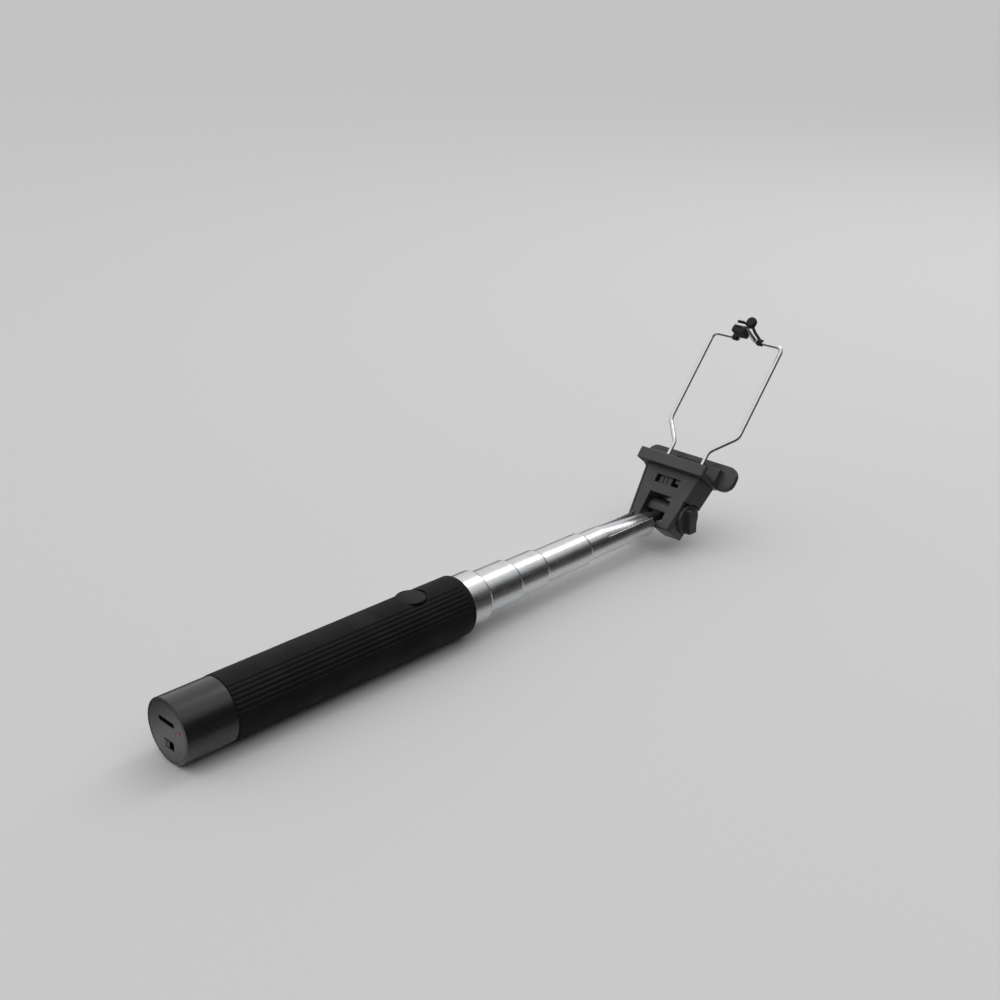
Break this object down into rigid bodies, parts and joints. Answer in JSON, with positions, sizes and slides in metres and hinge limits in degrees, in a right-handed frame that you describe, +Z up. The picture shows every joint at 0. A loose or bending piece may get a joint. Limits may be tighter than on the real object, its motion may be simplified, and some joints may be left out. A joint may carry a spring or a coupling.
{
  "type": "selfie stick",
  "caption": "Compact telescopic stick with a ribbed rubber handle, shutter button and polished tubes, ending in a tilting sprung phone clamp with a wire hook and a wing knob.",
  "frame": {"origin": "centre line of the tubes at the rear end face of the handle", "axes": "+X along the stick towards the clamp, +Z up on the shutter button side, the wing knob on the -Y side"},
  "size_m": [0.3296, 0.052, 0.0948],
  "materials": {
    "cap_plastic": "satin black moulding",
    "grip_rubber": "matte black rubber",
    "polished_steel": "polished stainless steel",
    "circuit_board": "green solder mask",
    "nickel_steel": "nickel plated",
    "moulded_black": "moulded black plastic",
    "red_lens": "red clear lens",
    "white_plastic": "natural acetal",
    "cell_wrap": "blue shrink wrap",
    "lead_red": "insulated wire",
    "ribbon_amber": "flexible film",
    "screw_steel": "zinc plated",
    "button_plastic": "soft touch black",
    "switch_black": "moulded black plastic",
    "clamp_plastic": "fine textured black",
    "pad_rubber": "matte black rubber",
    "washer_steel": "dull washer steel",
    "spring_steel": "bright spring wire",
    "knob_plastic": "moulded black plastic",
    "brass": "knurled insert"
  },
  "bodies": {
    "handle": {"rear_cap": "cap_plastic", "grip_sleeve": "grip_rubber", "outer_tube": "polished_steel", "control_board": "circuit_board", "charging_socket_shell": "nickel_steel", "charging_socket_tongue": "moulded_black", "status_led_lens": "red_lens", "status_led": "white_plastic", "power_switch_housing": "moulded_black", "battery_cell": "cell_wrap", "battery_leads": "lead_red", "board_bulkhead": "moulded_black", "button_ribbon": "ribbon_amber", "button_tray": "moulded_black", "button_dome": "nickel_steel", "cap_screws": "screw_steel"},
    "shutter": {"shutter_button": "button_plastic"},
    "power_switch": {"power_switch_slider": "switch_black"},
    "stage_2": {"tube_2": "polished_steel", "friction_bush_2": "white_plastic"},
    "stage_3": {"tube_3": "polished_steel", "friction_bush_3": "white_plastic"},
    "stage_4": {"tube_4": "polished_steel", "friction_bush_4": "white_plastic"},
    "stage_5": {"tube_5": "polished_steel", "friction_bush_5": "white_plastic", "hinge_lug": "moulded_black", "hinge_cover": "clamp_plastic", "lug_rivet": "nickel_steel"},
    "clamp": {"clamp_back_shell": "clamp_plastic", "clamp_front_shell": "clamp_plastic", "clamp_core": "clamp_plastic", "shell_screws": "screw_steel", "lower_jaw": "clamp_plastic", "jaw_screws": "screw_steel", "jaw_pad": "pad_rubber", "hinge_bolt": "screw_steel", "friction_washers": "washer_steel", "return_springs": "spring_steel"},
    "hook": {"hook_frame": "polished_steel", "hook_pad": "pad_rubber", "pull_tab": "pad_rubber", "leg_stops": "nickel_steel"},
    "knob": {"wing_knob": "knob_plastic", "knob_insert": "brass"}
  },
  "joints": [
    {"name": "shutter_press", "type": "slide", "parent": "handle", "child": "shutter", "axis": [0, 0, 1], "range_m": [-0.00035, 0], "stiffness_N_per_m": 900, "springref_m": 0.0005, "deforming": ["button_dome"]},
    {"name": "power_switch_slide", "type": "slide", "parent": "handle", "child": "power_switch", "axis": [0, 1, 0], "range_m": [-0.0026, 0]},
    {"name": "tube_2_slide", "type": "slide", "parent": "handle", "child": "stage_2", "axis": [1, 0, 0], "range_m": [-0.014, 0.074]},
    {"name": "tube_3_slide", "type": "slide", "parent": "stage_2", "child": "stage_3", "axis": [1, 0, 0], "range_m": [-0.012, 0.083]},
    {"name": "tube_4_slide", "type": "slide", "parent": "stage_3", "child": "stage_4", "axis": [1, 0, 0], "range_m": [-0.022, 0.078]},
    {"name": "tube_5_slide", "type": "slide", "parent": "stage_4", "child": "stage_5", "axis": [1, 0, 0], "range_m": [-0.015, 0.091]},
    {"name": "clamp_tilt", "type": "hinge", "parent": "stage_5", "child": "clamp", "pos_m": [0.267, 0, 0.0008], "axis": [0, 1, 0], "range_deg": [-45, 95]},
    {"name": "hook_slide", "type": "slide", "parent": "clamp", "child": "hook", "axis": [0.6428, 0, 0.766], "range_m": [-0.009, 0.009], "stiffness_N_per_m": 220, "springref_m": -0.02, "deforming": ["return_springs"]},
    {"name": "knob_turn", "type": "hinge", "parent": "clamp", "child": "knob", "pos_m": [0.267, -0.015, 0.0008], "axis": [0, -1, 0], "range_deg": [-30, 360]}
  ]
}
